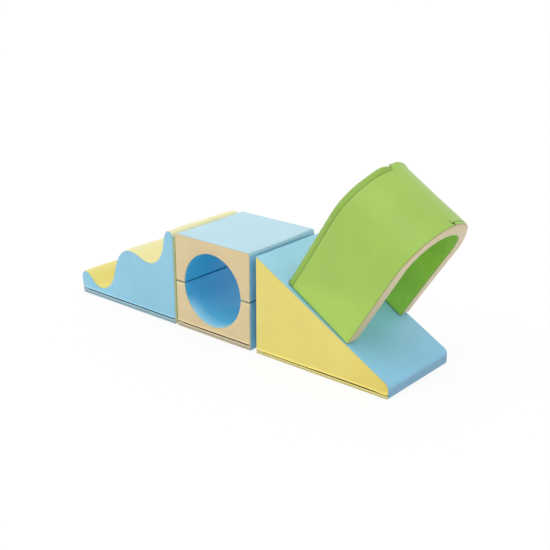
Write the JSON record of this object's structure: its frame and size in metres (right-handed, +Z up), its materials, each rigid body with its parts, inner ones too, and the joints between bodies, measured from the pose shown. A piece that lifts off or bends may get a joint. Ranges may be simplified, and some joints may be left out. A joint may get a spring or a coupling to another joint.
{
  "type": "soft play foam climber",
  "caption": "Soft play climber of padded foam blocks: wave steps, two-part tunnel cube, wedge ramp and an arch astride the ramp.",
  "frame": {"origin": "centre of the tunnel's underside, on the floor", "axes": "+X along the row from the wave to the ramp, +Y away from the side with the zips, +Z up"},
  "size_m": [2.1992, 0.524, 0.972],
  "materials": {
    "foam": "open-cell foam",
    "cover_sky": "satin coated fabric",
    "cover_pale": "satin coated fabric",
    "cover_bore": "satin coated fabric",
    "cover_lemon": "satin coated fabric",
    "cover_beige": "satin coated fabric",
    "cover_green": "satin coated fabric",
    "cover_leaf": "satin coated fabric",
    "zip_tape": "woven tape with nylon teeth",
    "zip_metal": "satin",
    "strip": "hook and loop pile"
  },
  "bodies": {
    "tunnel_lower": {"lower_foam_core": "foam", "lower_base_cover": "cover_pale", "lower_right_cover": "cover_sky", "lower_left_cover": "cover_sky", "lower_channel_cover": "cover_bore", "lower_front_cover": "cover_beige", "lower_rear_cover": "cover_beige", "lower_border_strip": "cover_beige", "lower_zip_chain": "zip_tape", "lower_left_hook_strip": "strip", "lower_right_hook_strip": "strip"},
    "tunnel_upper": {"upper_foam_core": "foam", "upper_base_cover": "cover_pale", "upper_right_cover": "cover_sky", "upper_left_cover": "cover_sky", "upper_channel_cover": "cover_bore", "upper_front_cover": "cover_beige", "upper_rear_cover": "cover_beige", "upper_border_strip": "cover_beige", "upper_zip_chain": "zip_tape", "upper_left_loop_strip": "strip", "upper_right_loop_strip": "strip"},
    "wave": {"wave_foam_core": "foam", "wave_top_cover": "cover_lemon", "wave_back_cover": "cover_lemon", "wave_base_cover": "cover_sky", "wave_near_side_cover": "cover_sky", "wave_far_side_cover": "cover_sky", "wave_border_strip": "cover_sky", "wave_zip_chain": "zip_tape"},
    "ramp": {"ramp_foam_core": "foam", "ramp_base_cover": "cover_sky", "ramp_toe_cover": "cover_sky", "ramp_slope_cover": "cover_sky", "ramp_back_cover": "cover_sky", "ramp_near_side_cover": "cover_lemon", "ramp_far_side_cover": "cover_lemon", "ramp_border_strip": "cover_lemon", "ramp_zip_chain": "zip_tape", "ramp_near_hook_strip": "strip", "ramp_far_hook_strip": "strip"},
    "arch": {"arch_foam_core": "foam", "arch_near_outer_cover": "cover_green", "arch_far_outer_cover": "cover_green", "arch_rim_band": "cover_green", "arch_inner_cover": "cover_leaf", "arch_near_foot_cover": "cover_green", "arch_far_foot_cover": "cover_green", "arch_downhill_cover": "cover_beige", "arch_uphill_cover": "cover_green", "arch_crown_flap": "cover_green", "arch_zip_chain": "zip_tape", "arch_near_loop_strip": "strip", "arch_far_loop_strip": "strip"},
    "wave_slider": {"wave_zip_slider": "zip_metal"},
    "lower_slider": {"lower_zip_slider": "zip_metal"},
    "upper_slider": {"upper_zip_slider": "zip_metal"},
    "ramp_slider": {"ramp_zip_slider": "zip_metal"},
    "arch_slider": {"arch_zip_slider": "zip_metal"}
  },
  "joints": [
    {"name": "upper_lift", "type": "slide", "parent": "tunnel_lower", "child": "tunnel_upper", "axis": [0, 0, 1], "range_m": [0, 0.25]},
    {"name": "wave_pull_away", "type": "slide", "parent": "tunnel_lower", "child": "wave", "axis": [-1, 0, 0], "range_m": [-0.01, 0.3]},
    {"name": "ramp_pull_away", "type": "slide", "parent": "tunnel_lower", "child": "ramp", "axis": [1, 0, 0], "range_m": [-0.03, 0.3]},
    {"name": "arch_lift_off", "type": "slide", "parent": "ramp", "child": "arch", "axis": [0.4887, 0, 0.8724], "range_m": [0, 0.25]},
    {"name": "wave_zip", "type": "slide", "parent": "wave", "child": "wave_slider", "axis": [1, 0, 0], "range_m": [0, 0.67]},
    {"name": "lower_zip", "type": "slide", "parent": "tunnel_lower", "child": "lower_slider", "axis": [1, 0, 0], "range_m": [0, 0.44]},
    {"name": "upper_zip", "type": "slide", "parent": "tunnel_upper", "child": "upper_slider", "axis": [1, 0, 0], "range_m": [0, 0.44]},
    {"name": "ramp_zip", "type": "slide", "parent": "ramp", "child": "ramp_slider", "axis": [1, 0, 0], "range_m": [0, 0.7]},
    {"name": "arch_zip", "type": "slide", "parent": "arch", "child": "arch_slider", "axis": [-0.8715, 0.0454, 0.4882], "range_m": [0, 0.32]}
  ]
}
